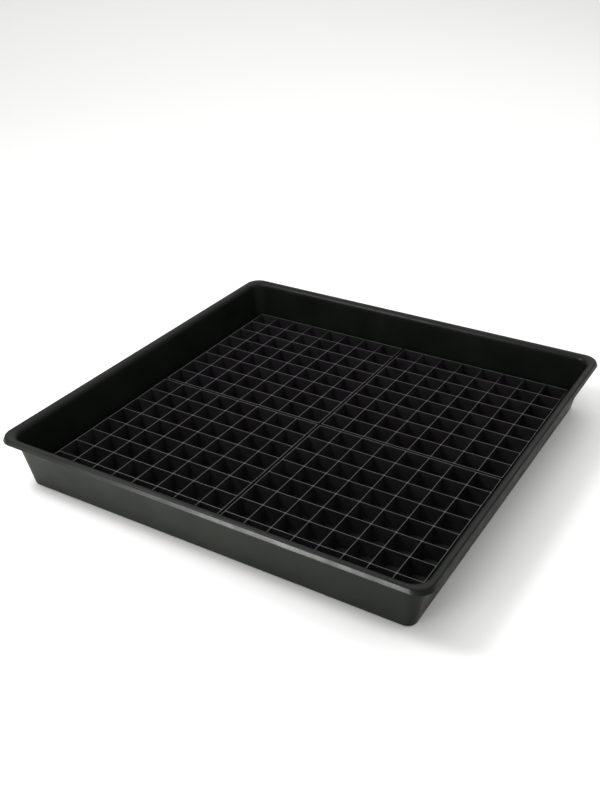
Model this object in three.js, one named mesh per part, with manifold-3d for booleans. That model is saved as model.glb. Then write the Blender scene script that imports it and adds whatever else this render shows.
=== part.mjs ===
// Spill containment pallet: a low moulded sump tray with four loose lattice grids as its deck.
// Millimetres, +Z up, +X to the right, +Y to the rear. The origin is the centre of the underside.

import * as THREE from "three";
import { mergeVertices } from "three/addons/utils/BufferGeometryUtils.js";
import Module from "manifold-3d";

// Sump tray
const trayLength = 1200;        // over the rim, along X
const trayWidth = 1200;         // over the rim, along Y
const trayHeight = 152;         // underside to the top of the rim
const skin = 4;                 // thickness of the moulding, the same everywhere
const draftAngle = 11.5;        // degrees that the walls lean out
const lipDrop = 14;             // depth of the rim's turned-down lip
const lipFlare = 18;            // degrees that the lip leans out
const rimOverhang = 23;         // lip's lower edge to the wall's outer face, at the same height
const rimOuterRadius = 5;       // outside edge of the rim
const rimInnerRadius = 19;      // where the rim rolls down into the wall
const baseRadius = 6;           // outside edge of the underside
const rimCornerRadius = 42;     // corner of the rim and of the wall's top, in plan
const baseCornerRadius = 24;    // corner of the underside, in plan

// Lattice grids
const gridsAlongX = 2;
const gridsAlongY = 2;
const cellPitch = 65.5;         // wanted rib spacing; the real one fills the tray with whole cells
const pitchStep = 1 / 32;       // the real spacing is a whole number of these
const ribThickness = 3;
const ribDepth = 57;
const archHeight = 15;          // flow arch under each side of a cell
const archFoot = 14;            // foot left standing at each rib crossing
const archLean = 9;             // run of an arch's sloping side
const overcut = 10;             // how far the cutting shapes reach past the block

// Clearances
const gridClearance = 14;       // edge of the flat floor to the outermost grids
const gridGap = 6.5;            // between neighbouring grids
const seatGap = 0.3;            // under the grids' feet
const deckShiftX = 5;           // the loose grids lie a little off the tray's centre
const deckShiftY = -1.5;

// Mesh fineness
const cornerSteps = 6;
const radiusSteps = 4;
const weldDistance = 1e-4;

const wasm = await Module();
wasm.setup();

function solidOf(geometry) {
  const bare = geometry.clone();
  bare.deleteAttribute("normal");
  bare.deleteAttribute("uv");
  const merged = mergeVertices(bare, weldDistance);
  const mesh = new wasm.Mesh({
    numProp: 3,
    vertProperties: new Float32Array(merged.attributes.position.array),
    triVerts: new Uint32Array(merged.index.array),
  });
  return new wasm.Manifold(mesh);
}

function geometryOf(solid) {
  const mesh = solid.getMesh();
  const geometry = new THREE.BufferGeometry();
  geometry.setAttribute("position", new THREE.BufferAttribute(new Float32Array(mesh.vertProperties), 3));
  geometry.setIndex(new THREE.BufferAttribute(new Uint32Array(mesh.triVerts), 1));
  return geometry;
}

// ---- tray section ----
// A section is drawn with u, the distance in from the rim's outer face, and z, the height.

const lipEndZ = trayHeight - lipDrop;
const draft = THREE.MathUtils.degToRad(draftAngle);
const flare = THREE.MathUtils.degToRad(lipFlare);
const baseInset = rimOverhang + lipEndZ * Math.tan(draft);

function wallOuterInset(z) {
  return baseInset - z * Math.tan(draft);
}

function wallInnerInset(z) {
  return wallOuterInset(z) + skin / Math.cos(draft);
}

function lipOuterInset(z) {
  return (z - lipEndZ) * Math.tan(flare);
}

function lipInnerInset(z) {
  return lipOuterInset(z) + skin / Math.cos(flare);
}

// Points of the arc that rounds the middle one of three corners.
function roundedCorner(before, corner, after, radius) {
  const toBefore = new THREE.Vector2().subVectors(before, corner).normalize();
  const toAfter = new THREE.Vector2().subVectors(after, corner).normalize();
  const halfAngle = Math.acos(toBefore.dot(toAfter)) / 2;
  const bisector = new THREE.Vector2().addVectors(toBefore, toAfter).normalize();
  const centre = corner.clone().addScaledVector(bisector, radius / Math.sin(halfAngle));
  const start = corner.clone().addScaledVector(toBefore, radius / Math.tan(halfAngle)).sub(centre);
  const turn = Math.sign(toAfter.cross(toBefore)) * (Math.PI - 2 * halfAngle);
  const points = [];
  for (let i = 0; i <= radiusSteps; i++) {
    const spoke = start.clone().rotateAround(new THREE.Vector2(), (turn * i) / radiusSteps);
    points.push(spoke.add(centre));
  }
  return points;
}

// One side of the moulding, from the floor out to the lower edge of the lip.
function sectionSide(floorZ, wallInset, rimZ, lipInset, radii) {
  const middle = new THREE.Vector2(trayLength / 2, floorZ);
  const base = new THREE.Vector2(wallInset(floorZ), floorZ);
  const rimInner = new THREE.Vector2(wallInset(rimZ), rimZ);
  const rimOuter = new THREE.Vector2(lipInset(rimZ), rimZ);
  const lipEnd = new THREE.Vector2(lipInset(lipEndZ), lipEndZ);
  return [
    ...roundedCorner(middle, base, rimInner, radii.base),
    ...roundedCorner(base, rimInner, rimOuter, radii.rimInner),
    ...roundedCorner(rimInner, rimOuter, lipEnd, radii.rimOuter),
    lipEnd,
  ];
}

const insideSection = sectionSide(skin, wallInnerInset, trayHeight, lipOuterInset, {
  base: baseRadius - skin,
  rimInner: rimInnerRadius,
  rimOuter: rimOuterRadius,
});
const outsideSection = sectionSide(0, wallOuterInset, trayHeight - skin, lipInnerInset, {
  base: baseRadius,
  rimInner: rimInnerRadius - skin,
  rimOuter: rimOuterRadius - skin,
});

// The rounded rectangle that a section point sweeps round the tray. Corners tighten down the wall.
function ringAt(point) {
  const downWall = THREE.MathUtils.inverseLerp(rimOverhang, baseInset, point.x);
  const share = THREE.MathUtils.clamp(downWall, 0, 1);
  const radius = THREE.MathUtils.lerp(rimCornerRadius, baseCornerRadius, share);
  const centreX = trayLength / 2 - point.x - radius;
  const centreY = trayWidth / 2 - point.x - radius;
  const signs = [[1, 1], [-1, 1], [-1, -1], [1, -1]];
  const ring = [];
  signs.forEach(([sideX, sideY], corner) => {
    for (let i = 0; i <= cornerSteps; i++) {
      const angle = (corner + i / cornerSteps) * (Math.PI / 2);
      const x = sideX * centreX + radius * Math.cos(angle);
      const y = sideY * centreY + radius * Math.sin(angle);
      ring.push(new THREE.Vector3(x, y, point.y));
    }
  });
  return ring;
}

function trayGeometry() {
  const rings = [...insideSection, ...outsideSection.slice().reverse()].map(ringAt);
  const count = rings[0].length;
  const points = [new THREE.Vector3(0, 0, skin), ...rings.flat(), new THREE.Vector3(0, 0, 0)];
  const last = points.length - 1;
  const at = (ring, i) => 1 + ring * count + (i % count);
  const index = [];
  for (let i = 0; i < count; i++) {
    index.push(0, at(0, i), at(0, i + 1));
    for (let ring = 0; ring < rings.length - 1; ring++) {
      index.push(at(ring, i), at(ring + 1, i), at(ring + 1, i + 1));
      index.push(at(ring, i), at(ring + 1, i + 1), at(ring, i + 1));
    }
    index.push(at(rings.length - 1, i), last, at(rings.length - 1, i + 1));
  }
  return new THREE.BufferGeometry().setFromPoints(points).setIndex(index);
}

// ---- lattice grid ----

// Where the flat floor ends, as a distance in from the rim's outer face.
const floorEdgeInset = insideSection[0].x;

function gridLayout(traySize, grids) {
  const deck = traySize - 2 * (floorEdgeInset + gridClearance);
  const room = (deck - (grids - 1) * gridGap) / grids - ribThickness;
  const cells = Math.round(room / cellPitch);
  const pitch = Math.floor(room / cells / pitchStep) * pitchStep;
  const size = cells * pitch + ribThickness;
  const centres = [];
  for (let i = 0; i < grids; i++) {
    centres.push((i - (grids - 1) / 2) * (size + gridGap));
  }
  return { size, cells, pitch, centres };
}

function cellCentres(layout) {
  return Array.from({ length: layout.cells }, (_, i) => (i + 0.5 - layout.cells / 2) * layout.pitch);
}

// A bar with the arch's section, lying along X through the origin. It runs on below the feet.
function archBar(across, length) {
  const foot = (across.pitch - archFoot) / 2;
  const widest = foot + (archLean / archHeight) * overcut;
  const outline = new THREE.Shape()
    .moveTo(-widest, -overcut)
    .lineTo(widest, -overcut)
    .lineTo(foot - archLean, archHeight)
    .lineTo(archLean - foot, archHeight);
  const bar = new THREE.ExtrudeGeometry(outline, { depth: length, bevelEnabled: false });
  return bar.translate(0, 0, -length / 2).rotateX(Math.PI / 2).rotateZ(Math.PI / 2);
}

function gridGeometry(alongX, alongY) {
  const block = new THREE.BoxGeometry(alongX.size, alongY.size, ribDepth).translate(0, 0, ribDepth / 2);
  const cell = new THREE.BoxGeometry(
    alongX.pitch - ribThickness,
    alongY.pitch - ribThickness,
    ribDepth + 2 * overcut,
  ).translate(0, 0, ribDepth / 2);
  const cuts = [];
  for (const y of cellCentres(alongY)) {
    cuts.push(archBar(alongY, alongX.size + 2 * overcut).translate(0, y, 0));
    for (const x of cellCentres(alongX)) {
      cuts.push(cell.clone().translate(x, y, 0));
    }
  }
  for (const x of cellCentres(alongX)) {
    cuts.push(archBar(alongX, alongY.size + 2 * overcut).rotateZ(Math.PI / 2).translate(x, 0, 0));
  }
  return geometryOf(cuts.map(solidOf).reduce((left, cut) => left.subtract(cut), solidOf(block)));
}

// ---- assembly ----

const trayPlastic = new THREE.MeshStandardMaterial({ color: 0x2b2e2d, roughness: 0.48, metalness: 0 });
const gridPlastic = new THREE.MeshStandardMaterial({ color: 0x1f1e20, roughness: 0.55, metalness: 0 });

const pallet = new THREE.Group();

const tray = new THREE.Mesh(trayGeometry(), trayPlastic);
tray.name = "sump_tray";
pallet.add(tray);

const deck = new THREE.Group();
deck.position.set(deckShiftX, deckShiftY, skin + seatGap);
pallet.add(deck);

const layoutX = gridLayout(trayLength, gridsAlongX);
const layoutY = gridLayout(trayWidth, gridsAlongY);
const rows = ["front", "rear"];
const columns = ["left", "right"];
layoutY.centres.forEach((y, row) => {
  layoutX.centres.forEach((x, column) => {
    const grid = new THREE.Mesh(gridGeometry(layoutX, layoutY), gridPlastic.clone());
    grid.name = `grid_${rows[row]}_${columns[column]}`;
    grid.position.set(x, y, 0);
    deck.add(grid);
  });
});

export default pallet;
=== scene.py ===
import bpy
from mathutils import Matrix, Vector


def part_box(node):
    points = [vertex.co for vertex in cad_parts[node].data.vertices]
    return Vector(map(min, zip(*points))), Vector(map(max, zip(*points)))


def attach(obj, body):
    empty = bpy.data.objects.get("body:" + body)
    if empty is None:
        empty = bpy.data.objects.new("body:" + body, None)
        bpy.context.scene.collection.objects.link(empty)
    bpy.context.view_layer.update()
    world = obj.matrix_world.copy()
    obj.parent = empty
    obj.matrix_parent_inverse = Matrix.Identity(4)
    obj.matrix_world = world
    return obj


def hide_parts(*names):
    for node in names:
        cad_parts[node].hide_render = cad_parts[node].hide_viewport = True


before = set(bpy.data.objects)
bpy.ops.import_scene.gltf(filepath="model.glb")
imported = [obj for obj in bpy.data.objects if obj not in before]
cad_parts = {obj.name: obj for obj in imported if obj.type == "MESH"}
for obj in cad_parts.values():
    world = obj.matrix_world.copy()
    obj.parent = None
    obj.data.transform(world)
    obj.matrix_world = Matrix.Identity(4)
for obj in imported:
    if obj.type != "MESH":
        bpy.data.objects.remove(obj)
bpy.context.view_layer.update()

import math

import bpy
import bmesh
from mathutils import Euler, Matrix, Vector, noise

scene = bpy.context.scene


# ---- small helpers ----

def linearColour(hexText):
    # sRGB hex to linear, for a shader socket
    parts = [int(hexText[i:i + 2], 16) / 255 for i in (1, 3, 5)]
    return tuple(c / 12.92 if c <= 0.04045 else ((c + 0.055) / 1.055) ** 2.4 for c in parts) + (1.0,)


def addNode(tree, kind, settings=None, **links):
    # settings are the node's own properties; links are _Socket_Name or _number, = value or output socket
    node = tree.nodes.new(kind)
    for name, value in (settings or {}).items():
        setattr(node, name, value)
    for name, value in links.items():
        key = name[1:]
        socket = node.inputs[int(key)] if key.isdigit() else node.inputs[key.replace("_", " ")]
        if isinstance(value, bpy.types.NodeSocket):
            tree.links.new(value, socket)
        else:
            socket.default_value = value
    return node


def newObject(name, mesh):
    obj = bpy.data.objects.new(name, mesh)
    scene.collection.objects.link(obj)
    return obj


# ---- camera ----

view = {
    "azimuth": 31.23,           # degrees round from the front
    "elevation": 29.73,
    "roll": -0.58,
    "distance": 2.853,
    "aimOffset": (-0.110, 0.086),   # from the middle of the deck
    "lens": 44.7,
}


def makeCamera():
    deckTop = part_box("grid_front_right")[1][2]
    aim = Vector((view["aimOffset"][0], view["aimOffset"][1], deckTop))
    turn, lift = math.radians(view["azimuth"]), math.radians(view["elevation"])
    back = Vector((math.sin(turn) * math.cos(lift), -math.cos(turn) * math.cos(lift), math.sin(lift)))
    data = bpy.data.cameras.new("camera")
    data.lens = view["lens"]
    data.sensor_width = 36
    camera = bpy.data.objects.new("camera", data)
    scene.collection.objects.link(camera)
    camera.location = aim + back * view["distance"]
    level = back.to_track_quat("Z", "Y")
    camera.rotation_euler = (level @ Euler((0, 0, math.radians(view["roll"]))).to_quaternion()).to_euler()
    scene.camera = camera


makeCamera()
print("camera done")


# ---- studio ----

studio = {
    "floorColour": "#f4f4f2",
    "worldColour": "#ffffff",
    "worldStrength": 0.5,
    "keyFrom": (-0.35, -2.0, 0.09),   # a strip on the floor in front, lower than the rim
    "keySize": (1.0, 0.12),
    "keyPower": 52,
    "fillFrom": (-1.35, -1.1, 2.45),  # high on the left, reaches down into the cells
    "fillSize": (0.9, 0.9),
    "fillPower": 50,
    "topFrom": (0.6, 0.8, 4.6),       # overhead, lights the floor
    "topSize": (8.0, 8.0),
    "topPower": 178,
    "rearFrom": (-5.0, 7.0, 5.0),     # behind, to the left, faces straight down
    "rearSize": (10.0, 10.0),
    "rearPower": 225,
}


def addSoftbox(name, place, size, power, target=(0, 0, 0.1)):
    data = bpy.data.lights.new(name, "AREA")
    data.shape = "RECTANGLE"
    data.size, data.size_y = size
    data.energy = power
    light = bpy.data.objects.new(name, data)
    scene.collection.objects.link(light)
    light.location = place
    light.visible_camera = False
    light.rotation_euler = (Vector(place) - Vector(target)).to_track_quat("Z", "Y").to_euler()


def makeStudio():
    world = bpy.data.worlds.new("studio")
    world.use_nodes = True
    background = world.node_tree.nodes["Background"]
    background.inputs["Color"].default_value = linearColour(studio["worldColour"])
    background.inputs["Strength"].default_value = studio["worldStrength"]
    scene.world = world
    addSoftbox("keySoftbox", studio["keyFrom"], studio["keySize"], studio["keyPower"])
    addSoftbox("fillSoftbox", studio["fillFrom"], studio["fillSize"], studio["fillPower"])
    addSoftbox("topSoftbox", studio["topFrom"], studio["topSize"], studio["topPower"])
    below = (studio["rearFrom"][0], studio["rearFrom"][1], 0)
    addSoftbox("rearSoftbox", studio["rearFrom"], studio["rearSize"], studio["rearPower"], below)
    mesh = bpy.data.meshes.new("floor")
    half, low = 30.0, -0.0004
    mesh.from_pydata([(-half, -half, low), (half, -half, low), (half, half, low), (-half, half, low)],
                     [], [(0, 1, 2, 3)])
    floor = newObject("floor", mesh)
    paint = bpy.data.materials.new("paleFloor")
    paint.use_nodes = True
    shader = paint.node_tree.nodes["Principled BSDF"]
    shader.inputs["Base Color"].default_value = linearColour(studio["floorColour"])
    shader.inputs["Roughness"].default_value = 0.8
    mesh.materials.append(paint)
    scene.view_settings.view_transform = "Standard"


makeStudio()
print("studio done")


# ---- materials ----

trayFinish = {
    "colour": "#090d08",        # carbon-black polyethylene
    "dustColour": "#151a12",
    "gloss": 0.14,              # specular level
    "roughness": 0.37,
    "cloud": 140,               # mm between patches of dust
    "rub": 55,                  # mm between rubbed patches
    "grain": 3.5,               # mm; the real moulding grain is about 1 mm, too fine to show
    "grainHeight": 0.05,        # mm
    "peel": 16.0,               # mm; slow orange peel where the sheet cooled on the mould
    "peelHeight": 0.04,         # mm
    "speck": 26.0,              # mm between dust specks
}


def trayPolyethylene():
    # thermoformed black polyethylene: satin, slightly waxy, with a fine grain and a little dust
    finish = trayFinish
    material = bpy.data.materials.new("thermoformedBlackPolyethylene")
    material.use_nodes = True
    tree = material.node_tree
    shader = tree.nodes["Principled BSDF"]
    place = addNode(tree, "ShaderNodeTexCoord").outputs["Object"]
    cloud = addNode(tree, "ShaderNodeTexNoise", _Vector=place, _Scale=1000 / finish["cloud"], _Detail=5.0)
    cloudRamp = addNode(tree, "ShaderNodeMapRange", _Value=cloud.outputs["Fac"],
                        _1=0.42, _2=0.72, _3=0.0, _4=0.5)
    speckCells = addNode(tree, "ShaderNodeTexVoronoi", {"feature": "F1"},
                         _Vector=place, _Scale=1000 / finish["speck"])
    speck = addNode(tree, "ShaderNodeMapRange", _Value=speckCells.outputs["Distance"],
                    _1=0.035, _2=0.02, _3=0.0, _4=0.8)
    dust = addNode(tree, "ShaderNodeMath", {"operation": "MAXIMUM"},
                   _0=cloudRamp.outputs[0], _1=speck.outputs[0])
    colour = addNode(tree, "ShaderNodeMix", {"data_type": "RGBA"}, _0=dust.outputs[0],
                     _6=linearColour(finish["colour"]), _7=linearColour(finish["dustColour"]))
    tree.links.new(colour.outputs[2], shader.inputs["Base Color"])
    rub = addNode(tree, "ShaderNodeTexNoise", _Vector=place, _Scale=1000 / finish["rub"], _Detail=6.0)
    rough = addNode(tree, "ShaderNodeMapRange", _Value=rub.outputs["Fac"], _1=0.3, _2=0.7,
                    _3=finish["roughness"] - 0.05, _4=finish["roughness"] + 0.09)
    tree.links.new(rough.outputs[0], shader.inputs["Roughness"])
    grain = addNode(tree, "ShaderNodeTexNoise", _Vector=place, _Scale=1000 / finish["grain"], _Detail=2.0)
    peel = addNode(tree, "ShaderNodeTexNoise", _Vector=place, _Scale=1000 / finish["peel"], _Detail=1.0)
    peelBump = addNode(tree, "ShaderNodeBump", _Height=peel.outputs["Fac"], _Strength=1.0,
                       _Distance=finish["peelHeight"] / 1000)
    grainBump = addNode(tree, "ShaderNodeBump", _Height=grain.outputs["Fac"], _Strength=1.0,
                        _Distance=finish["grainHeight"] / 1000, _Normal=peelBump.outputs[0])
    tree.links.new(grainBump.outputs[0], shader.inputs["Normal"])
    shader.inputs["IOR"].default_value = 1.51
    shader.inputs["Specular IOR Level"].default_value = finish["gloss"]
    return material


gridFinish = {
    "colour": "#1d1a1d",        # the same resin, from a polished injection mould
    "dustColour": "#282628",
    "gloss": 0.65,
    "roughness": 0.38,
    "cloud": 60,                # mm between patches of dust
    "flow": 22.0,               # mm between flow marks
    "flowHeight": 0.06,         # mm
}


def gridPolyethylene():
    # injection moulded black polyethylene: a touch glossier than the tray, with faint flow marks
    finish = gridFinish
    material = bpy.data.materials.new("injectionMouldedBlackPolyethylene")
    material.use_nodes = True
    tree = material.node_tree
    shader = tree.nodes["Principled BSDF"]
    place = addNode(tree, "ShaderNodeTexCoord").outputs["Object"]
    cloud = addNode(tree, "ShaderNodeTexNoise", _Vector=place, _Scale=1000 / finish["cloud"], _Detail=5.0)
    dust = addNode(tree, "ShaderNodeMapRange", _Value=cloud.outputs["Fac"], _1=0.42, _2=0.75, _3=0.0, _4=0.6)
    colour = addNode(tree, "ShaderNodeMix", {"data_type": "RGBA"}, _0=dust.outputs[0],
                     _6=linearColour(finish["colour"]), _7=linearColour(finish["dustColour"]))
    tree.links.new(colour.outputs[2], shader.inputs["Base Color"])
    rough = addNode(tree, "ShaderNodeMapRange", _Value=cloud.outputs["Fac"], _1=0.3, _2=0.7,
                    _3=finish["roughness"] - 0.05, _4=finish["roughness"] + 0.08)
    tree.links.new(rough.outputs[0], shader.inputs["Roughness"])
    flow = addNode(tree, "ShaderNodeTexNoise", _Vector=place, _Scale=1000 / finish["flow"], _Detail=3.0)
    bump = addNode(tree, "ShaderNodeBump", _Height=flow.outputs["Fac"], _Strength=1.0,
                   _Distance=finish["flowHeight"] / 1000)
    tree.links.new(bump.outputs[0], shader.inputs["Normal"])
    shader.inputs["IOR"].default_value = 1.51
    shader.inputs["Specular IOR Level"].default_value = finish["gloss"]
    return material


trayMaterial = trayPolyethylene()
gridMaterial = gridPolyethylene()
print("materials done")


# ---- tray ----

trayShape = {
    "skin": 0.004,
    "draft": 11.5,              # degrees
    "lipDrop": 0.014,
    "lipFlare": 18.0,           # degrees
    "overhang": 0.023,
    "rimOuterRadius": 0.005,
    "rimInnerRadius": 0.019,
    "baseRadius": 0.006,
    "lipEdgeRadius": 0.0013,    # trimmed edge, softened
    "rimCornerRadius": 0.042,
    "baseCornerRadius": 0.024,
    "radiusSteps": 8,
    "cornerSteps": 14,
    "sideSteps": 40,
    "wallSteps": 12,
    "floorRings": 8,
    "wave": 0.0008,             # how far the walls wander off flat
    "waveLength": 0.23,
    "waveFade": 0.03,           # the wave dies out this far from the underside and the lip
    "floorStart": 0.05,         # the flat floor's first ring, in from its edge
    "trim": 0.0002,             # unevenness of the trimmed lip
    "trimLength": 0.03,
    "trimBand": 0.0015,         # height of the lip's edge that it moves
}


def roundedPath(corners, steps):
    # corners: (inset, height, radius); an arc at each corner that has a radius
    points = []
    for i, (u, z, radius) in enumerate(corners):
        here = Vector((u, z))
        if not radius:
            points.append(here)
            continue
        before = (Vector(corners[i - 1][:2]) - here).normalized()
        after = (Vector(corners[i + 1][:2]) - here).normalized()
        half = before.angle(after) / 2
        centre = here + (before + after).normalized() * radius / math.sin(half)
        start = here + before * radius / math.tan(half) - centre
        turn = math.copysign(math.pi - 2 * half, after.x * before.y - after.y * before.x)
        for k in range(steps + 1):
            points.append(centre + Matrix.Rotation(turn * k / steps, 2) @ start)
    return points


def divide(points, longest):
    # adds points to stretches longer than that, so that a wall can wander
    result = [points[0]]
    for point in points[1:]:
        gap = (point - result[-1]).length
        count = max(1, math.ceil(gap / longest))
        start = result[-1].copy()
        result += [start.lerp(point, k / count) for k in range(1, count + 1)]
    return result


def traySection(height):
    s = trayShape
    draft, flare = math.radians(s["draft"]), math.radians(s["lipFlare"])
    lipZ = height - s["lipDrop"]
    baseInset = s["overhang"] + lipZ * math.tan(draft)
    skin = s["skin"]
    edge = s["lipEdgeRadius"]

    def outside(z):
        return baseInset - z * math.tan(draft)

    def inside(z):
        return outside(z) + skin / math.cos(draft)

    def lipFace(z):
        return (z - lipZ) * math.tan(flare)

    def lipBack(z):
        return lipFace(z) + skin / math.cos(flare)

    inner = [(inside(skin) + s["floorStart"], skin, 0),
             (inside(skin), skin, s["baseRadius"] - skin),
             (inside(height), height, s["rimInnerRadius"]),
             (lipFace(height), height, s["rimOuterRadius"]),
             (0, lipZ, edge)]
    outer = [(lipBack(lipZ), lipZ, edge),
             (lipBack(height - skin), height - skin, s["rimOuterRadius"] - skin),
             (outside(height - skin), height - skin, s["rimInnerRadius"] - skin),
             (outside(0), 0, s["baseRadius"]),
             (outside(0) + s["floorStart"], 0, 0)]
    longest = (height - skin) / s["wallSteps"]
    path = divide(roundedPath(inner + outer, s["radiusSteps"]), longest)
    return path, baseInset


def trayRing(u, half, baseInset):
    # (x, y, outward x, outward y) round a rounded rectangle
    s = trayShape
    share = min(max((u - s["overhang"]) / (baseInset - s["overhang"]), 0), 1)
    radius = s["rimCornerRadius"] + (s["baseCornerRadius"] - s["rimCornerRadius"]) * share
    radius = min(radius, half.x - u, half.y - u)
    ring = []
    signs = [(1, 1), (-1, 1), (-1, -1), (1, -1)]
    for k, (sx, sy) in enumerate(signs):
        centre = Vector((sx * (half.x - u - radius), sy * (half.y - u - radius)))
        for i in range(s["cornerSteps"] + 1):
            angle = (k + i / s["cornerSteps"]) * math.pi / 2
            out = Vector((math.cos(angle), math.sin(angle)))
            ring.append((centre + out * radius, out))
        nx, ny = signs[(k + 1) % 4]
        last = ring[-1][0]
        nextCentre = Vector((nx * (half.x - u - radius), ny * (half.y - u - radius)))
        goal = nextCentre + ring[-1][1] * radius
        for i in range(1, s["sideSteps"]):
            ring.append((last.lerp(goal, i / s["sideSteps"]), ring[-1][1]))
    return ring


def wander(x, y, z):
    # slow waviness of a cooled sheet, never outwards
    s = trayShape
    wave = noise.noise(Vector((x, y, 0.35 * z)) / s["waveLength"] + Vector((3.1, 7.7, 0.4)))
    return s["wave"] * min(max(0.5 + wave, 0), 1)


def makeTray():
    low, high = (Vector(c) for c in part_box("sump_tray"))
    half = Vector(((high.x - low.x) / 2, (high.y - low.y) / 2))
    middle = (low + high) / 2
    height = high.z - low.z
    path, baseInset = traySection(height)
    s = trayShape
    lipZ = height - s["lipDrop"]
    rings = []
    for point in path:
        ring = []
        free = min(1, point.y / s["waveFade"], max(0, (lipZ - point.y) / s["waveFade"]))
        onLipEdge = abs(point.y - lipZ) < s["trimBand"] and point.x < 2 * s["skin"]
        for place, out in trayRing(point.x, half, baseInset):
            shift = wander(place.x, place.y, point.y) * free
            z = point.y
            if onLipEdge:
                z += s["trim"] * (noise.noise(Vector((place.x, place.y, 0)) / s["trimLength"]) + 0.5)
            ring.append(Vector((place.x - out.x * shift, place.y - out.y * shift, z)))
        rings.append(ring)
    count = len(rings[0])
    vertices, faces = [], []

    def addRing(ring):
        start = len(vertices)
        vertices.extend(ring)
        return start

    def bridge(a, b):
        for i in range(count):
            j = (i + 1) % count
            faces.append((a + i, b + i, b + j, a + j))

    def floorRings(ring, z):
        # closes a flat floor with shrinking rings and a centre point
        starts = []
        for k in range(1, s["floorRings"]):
            share = 1 - k / s["floorRings"]
            starts.append(addRing([Vector((p.x * share, p.y * share, z)) for p in ring]))
        vertices.append(Vector((0, 0, z)))
        return starts, len(vertices) - 1

    starts = [addRing(ring) for ring in rings]
    for a, b in zip(starts, starts[1:]):
        bridge(a, b)
    topStarts, topCentre = floorRings(rings[0], path[0].y)
    for a, b in zip([starts[0]] + topStarts, topStarts):
        bridge(b, a)
    lowStarts, lowCentre = floorRings(rings[-1], path[-1].y)
    for a, b in zip([starts[-1]] + lowStarts, lowStarts):
        bridge(a, b)
    for i in range(count):
        j = (i + 1) % count
        faces.append((topCentre, topStarts[-1] + i, topStarts[-1] + j))
        faces.append((lowCentre, lowStarts[-1] + j, lowStarts[-1] + i))
    mesh = bpy.data.meshes.new("sumpTray")
    mesh.from_pydata([(v.x + middle.x, v.y + middle.y, v.z + low.z) for v in vertices], [], faces)
    mesh.validate()
    mesh.shade_smooth()
    mesh.materials.append(trayMaterial)
    return newObject("sumpTray", mesh)


tray = makeTray()
print("tray done,", len(tray.data.polygons), "faces")


# ---- lattice grids ----

gridShape = {
    "cells": 8,                 # each way
    "rib": 0.003,
    "edgeRadius": 0.0009,       # along the rib tops
    "cellCornerRadius": 0.0028,
    "archHeight": 0.015,
    "archFoot": 0.014,
    "archPower": 2.6,           # between an ellipse (2) and a square arch
    "archSteps": 8,
    "ribDraft": 0.00035,        # each face of a rib leans in by this at its top
    "warp": 0.0007,             # how far the ribs wander
    "warpLength": 0.16,
}


def archRise(t, halfSpan):
    # height of the flow arch at t from the middle of a cell's side
    share = min(abs(t) / halfSpan, 1)
    power = gridShape["archPower"]
    return gridShape["archHeight"] * (1 - share ** power) ** (1 / power)


def ribStations(pitch):
    # places along one side of a cell between its rounded corners
    s = gridShape
    halfSpan = (pitch - s["archFoot"]) / 2
    straight = (pitch - s["rib"]) / 2 - s["cellCornerRadius"]
    arch = [-halfSpan * math.cos(math.pi * k / s["archSteps"]) for k in range(s["archSteps"] + 1)]
    return [-straight] + arch + [straight], straight, halfSpan


def ribColumn(middle, wall, out, rise, depth):
    # one vertical slice of half a rib: middle top, rounded edge, wall, foot, middle bottom
    s = gridShape
    r = s["edgeRadius"]
    column = [(middle, depth)]
    for k in range(3):
        angle = k * math.pi / 4
        inward = s["ribDraft"] + r * (1 - math.sin(angle))
        column.append((wall + out * inward, depth - r * (1 - math.cos(angle))))
    column.append((wall + out * s["ribDraft"] * rise / depth, rise))
    column.append((middle, rise))
    return [Vector((place.x, place.y, z)) for place, z in column]


def tileMesh(name, columns, closed):
    # skins neighbouring columns; the rows either side of the rounded edge shade sharp
    vertices = [v for column in columns for v in column]
    rows = len(columns[0])
    faces = []
    for i in range(len(columns) if closed else len(columns) - 1):
        a, b = i * rows, ((i + 1) % len(columns)) * rows
        for row in range(rows - 1):
            faces.append((a + row, b + row, b + row + 1, a + row + 1))
    mesh = bpy.data.meshes.new(name)
    mesh.from_pydata(vertices, [], faces)
    work = bmesh.new()
    work.from_mesh(mesh)
    work.verts.ensure_lookup_table()
    for edge in work.edges:
        row = [v.index % rows for v in edge.verts]
        edge.smooth = not (row[0] == row[1] and row[0] in (1, 3, 4))
    bmesh.ops.remove_doubles(work, verts=work.verts, dist=1e-6)
    bmesh.ops.dissolve_degenerate(work, edges=work.edges, dist=1e-6)
    work.to_mesh(mesh)
    work.free()
    return newObject(name, mesh)


def cellTile(pitch, depth):
    # the four half ribs round one cell, seen from inside it
    s = gridShape
    stations, straight, halfSpan = ribStations(pitch)
    hole = (pitch - s["rib"]) / 2
    mid = pitch / 2
    columns = []
    for side in range(4):
        turn = Matrix.Rotation(side * math.pi / 2, 2)
        for t in stations:
            columns.append(ribColumn(turn @ Vector((mid, t)), turn @ Vector((hole, t)),
                                     turn @ Vector((1, 0)), archRise(t, halfSpan), depth))
        corner = Vector((straight, straight))
        between = (straight + mid) / 2
        for degrees, outer in ((22.5, (mid, between)), (45, (mid, mid)), (67.5, (between, mid))):
            angle = math.radians(degrees)
            out = Vector((math.cos(angle), math.sin(angle)))
            columns.append(ribColumn(turn @ Vector(outer), turn @ (corner + out * s["cellCornerRadius"]),
                                     turn @ out, 0, depth))
    return tileMesh("cellTile", columns, True)


def edgeTile(pitch, depth):
    # the outer half of a border rib along one cell, on its +X side
    stations, straight, halfSpan = ribStations(pitch)
    mid = pitch / 2
    between = (straight + mid) / 2
    places = [-mid, -between] + stations + [between, mid]
    wall = mid + gridShape["rib"] / 2
    columns = [ribColumn(Vector((mid, t)), Vector((wall, t)), Vector((-1, 0)), archRise(t, halfSpan), depth)
               for t in places]
    return tileMesh("edgeTile", columns[::-1], False)


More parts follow.
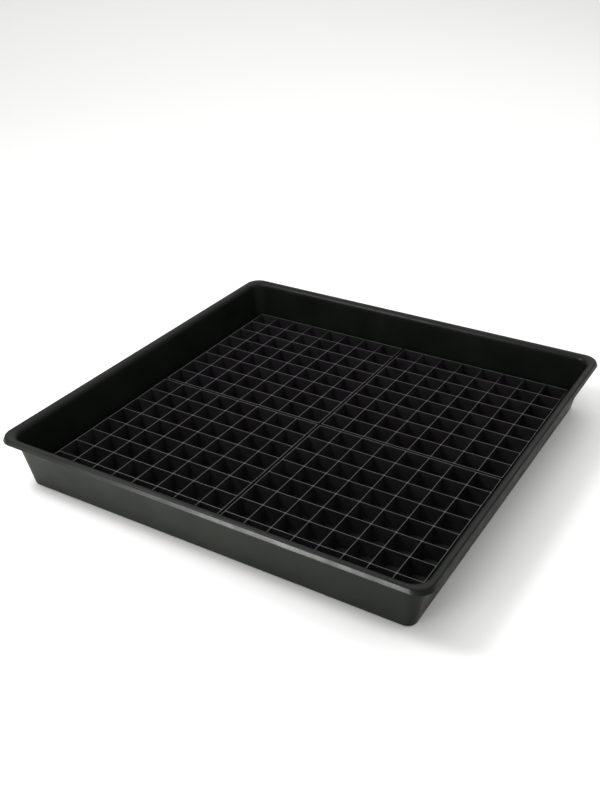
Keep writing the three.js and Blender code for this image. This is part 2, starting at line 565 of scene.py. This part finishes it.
def cornerTile(pitch, depth):
    # the rounded outer corner where two border ribs meet
    middle = Vector((pitch / 2, pitch / 2))
    columns = []
    for k in range(5):
        angle = k * math.pi / 8
        out = Vector((math.cos(angle), math.sin(angle)))
        columns.append(ribColumn(middle, middle + out * gridShape["rib"] / 2, -out, 0, depth))
    return tileMesh("cornerTile", columns[::-1], False)


def latticeTree():
    # lays cell tiles in a square and closes their outside with edge and corner tiles
    tree = bpy.data.node_groups.new("latticeGrid", "GeometryNodeTree")
    face = tree.interface
    sockets = [("Cells", "NodeSocketInt"), ("Pitch", "NodeSocketFloat"), ("Centre", "NodeSocketVector"),
               ("Cell Tile", "NodeSocketObject"), ("Edge Tile", "NodeSocketObject"),
               ("Corner Tile", "NodeSocketObject"), ("Warp", "NodeSocketFloat"),
               ("Warp Length", "NodeSocketFloat"), ("Depth", "NodeSocketFloat"),
               ("Seed", "NodeSocketFloat"), ("Material", "NodeSocketMaterial")]
    for name, kind in sockets:
        face.new_socket(name, in_out="INPUT", socket_type=kind)
    face.new_socket("Geometry", in_out="OUTPUT", socket_type="NodeSocketGeometry")
    given = addNode(tree, "NodeGroupInput").outputs
    gaps = addNode(tree, "ShaderNodeMath", {"operation": "SUBTRACT"}, _0=given["Cells"], _1=1.0)
    span = addNode(tree, "ShaderNodeMath", {"operation": "MULTIPLY"}, _0=gaps.outputs[0], _1=given["Pitch"])
    half = addNode(tree, "ShaderNodeMath", {"operation": "MULTIPLY"}, _0=span.outputs[0], _1=0.5)
    down = addNode(tree, "ShaderNodeMath", {"operation": "MULTIPLY"}, _0=half.outputs[0], _1=-1.0)

    def tile(points, name):
        thing = addNode(tree, "GeometryNodeObjectInfo", _Object=given[name])
        return addNode(tree, "GeometryNodeInstanceOnPoints", _Points=points,
                       _Instance=thing.outputs["Geometry"]).outputs[0]

    square = addNode(tree, "GeometryNodeMeshGrid", _0=span.outputs[0], _1=span.outputs[0],
                     _2=given["Cells"], _3=given["Cells"])
    cells = tile(square.outputs["Mesh"], "Cell Tile")
    lineStart = addNode(tree, "ShaderNodeCombineXYZ", _X=half.outputs[0], _Y=down.outputs[0])
    lineStep = addNode(tree, "ShaderNodeCombineXYZ", _Y=given["Pitch"])
    line = addNode(tree, "GeometryNodeMeshLine", _Count=given["Cells"], _Start_Location=lineStart.outputs[0],
                   _Offset=lineStep.outputs[0])
    edges = tile(line.outputs[0], "Edge Tile")
    cornerPlace = addNode(tree, "ShaderNodeCombineXYZ", _X=half.outputs[0], _Y=half.outputs[0])
    cornerPoint = addNode(tree, "GeometryNodePoints", _Count=1, _Position=cornerPlace.outputs[0])
    corner = tile(cornerPoint.outputs[0], "Corner Tile")
    side = addNode(tree, "GeometryNodeJoinGeometry")
    tree.links.new(edges, side.inputs[0])
    tree.links.new(corner, side.inputs[0])
    four = addNode(tree, "GeometryNodePoints", _Count=4)
    number = addNode(tree, "GeometryNodeInputIndex")
    quarter = addNode(tree, "ShaderNodeMath", {"operation": "MULTIPLY"}, _0=number.outputs[0], _1=math.pi / 2)
    turn = addNode(tree, "ShaderNodeCombineXYZ", _Z=quarter.outputs[0])
    border = addNode(tree, "GeometryNodeInstanceOnPoints", _Points=four.outputs[0],
                     _Instance=side.outputs[0], _Rotation=turn.outputs[0])
    whole = addNode(tree, "GeometryNodeJoinGeometry")
    tree.links.new(cells, whole.inputs[0])
    tree.links.new(border.outputs[0], whole.inputs[0])
    real = addNode(tree, "GeometryNodeRealizeInstances", _Geometry=whole.outputs[0])
    joined = addNode(tree, "GeometryNodeMergeByDistance", _Geometry=real.outputs[0], _Distance=2e-5)

    # the ribs stand still at their feet and wander a little at their tops
    position = addNode(tree, "GeometryNodeInputPosition")
    parts = addNode(tree, "ShaderNodeSeparateXYZ", _0=position.outputs[0])
    flat = addNode(tree, "ShaderNodeCombineXYZ", _X=parts.outputs[0], _Y=parts.outputs[1])
    density = addNode(tree, "ShaderNodeMath", {"operation": "DIVIDE"}, _0=1.0, _1=given["Warp Length"])
    cloud = addNode(tree, "ShaderNodeTexNoise", {"noise_dimensions": "4D"}, _Vector=flat.outputs[0],
                    _W=given["Seed"], _Scale=density.outputs[0], _Detail=1.0)
    centred = addNode(tree, "ShaderNodeVectorMath", {"operation": "SUBTRACT"}, _0=cloud.outputs["Color"],
                      _1=(0.5, 0.5, 0.5))
    levelled = addNode(tree, "ShaderNodeVectorMath", {"operation": "MULTIPLY"}, _0=centred.outputs[0],
                       _1=(1.0, 1.0, 0.0))
    up = addNode(tree, "ShaderNodeMath", {"operation": "DIVIDE"}, _0=parts.outputs[2], _1=given["Depth"])
    twice = addNode(tree, "ShaderNodeMath", {"operation": "MULTIPLY"}, _0=up.outputs[0], _1=given["Warp"])
    amount = addNode(tree, "ShaderNodeMath", {"operation": "MULTIPLY"}, _0=twice.outputs[0], _1=2.0)
    shift = addNode(tree, "ShaderNodeVectorMath", {"operation": "SCALE"}, _0=levelled.outputs[0],
                    _Scale=amount.outputs[0])
    warped = addNode(tree, "GeometryNodeSetPosition", _Geometry=joined.outputs[0], _Offset=shift.outputs[0])
    placed = addNode(tree, "GeometryNodeTransform", _Geometry=warped.outputs[0], _Translation=given["Centre"])
    painted = addNode(tree, "GeometryNodeSetMaterial", _Geometry=placed.outputs[0],
                      _Material=given["Material"])
    addNode(tree, "NodeGroupOutput", _Geometry=painted.outputs[0])
    return tree


def setInput(modifier, tree, name, value):
    for item in tree.interface.items_tree:
        if item.item_type == "SOCKET" and item.in_out == "INPUT" and item.name == name:
            modifier[item.identifier] = value


def makeGrids():
    tree = latticeTree()
    low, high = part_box("grid_front_left")
    depth = high[2] - low[2]
    pitch = (high[0] - low[0] - gridShape["rib"]) / gridShape["cells"]
    tiles = {"Cell Tile": cellTile(pitch, depth), "Edge Tile": edgeTile(pitch, depth),
             "Corner Tile": cornerTile(pitch, depth)}
    grids = {}
    for number, node in enumerate(sorted(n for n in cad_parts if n.startswith("grid_"))):
        low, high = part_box(node)
        holder = newObject("holder", bpy.data.meshes.new("holder"))
        modifier = holder.modifiers.new("lattice", "NODES")
        modifier.node_group = tree
        centre = ((low[0] + high[0]) / 2, (low[1] + high[1]) / 2, low[2])
        values = {"Cells": gridShape["cells"], "Pitch": pitch, "Centre": centre, "Warp": gridShape["warp"],
                  "Warp Length": gridShape["warpLength"], "Depth": depth, "Seed": 5.0 + 3.7 * number,
                  "Material": gridMaterial, **tiles}
        for name, value in values.items():
            setInput(modifier, tree, name, value)
        bpy.context.view_layer.update()
        ready = holder.evaluated_get(bpy.context.evaluated_depsgraph_get())
        mesh = bpy.data.meshes.new_from_object(ready)
        name = "lattice" + "".join(word.capitalize() for word in node.split("_")[1:])
        mesh.name = name
        bpy.data.objects.remove(holder)
        grids[node] = newObject(name, mesh)
    for tile in tiles.values():
        bpy.data.objects.remove(tile)
    return grids


grids = makeGrids()
print("grids done,", {name: len(g.data.polygons) for name, g in grids.items()})


# ---- hand over to the frame ----

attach(tray, "tray")
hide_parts("sump_tray")
for node, grid in grids.items():
    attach(grid, node)
    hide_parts(node)
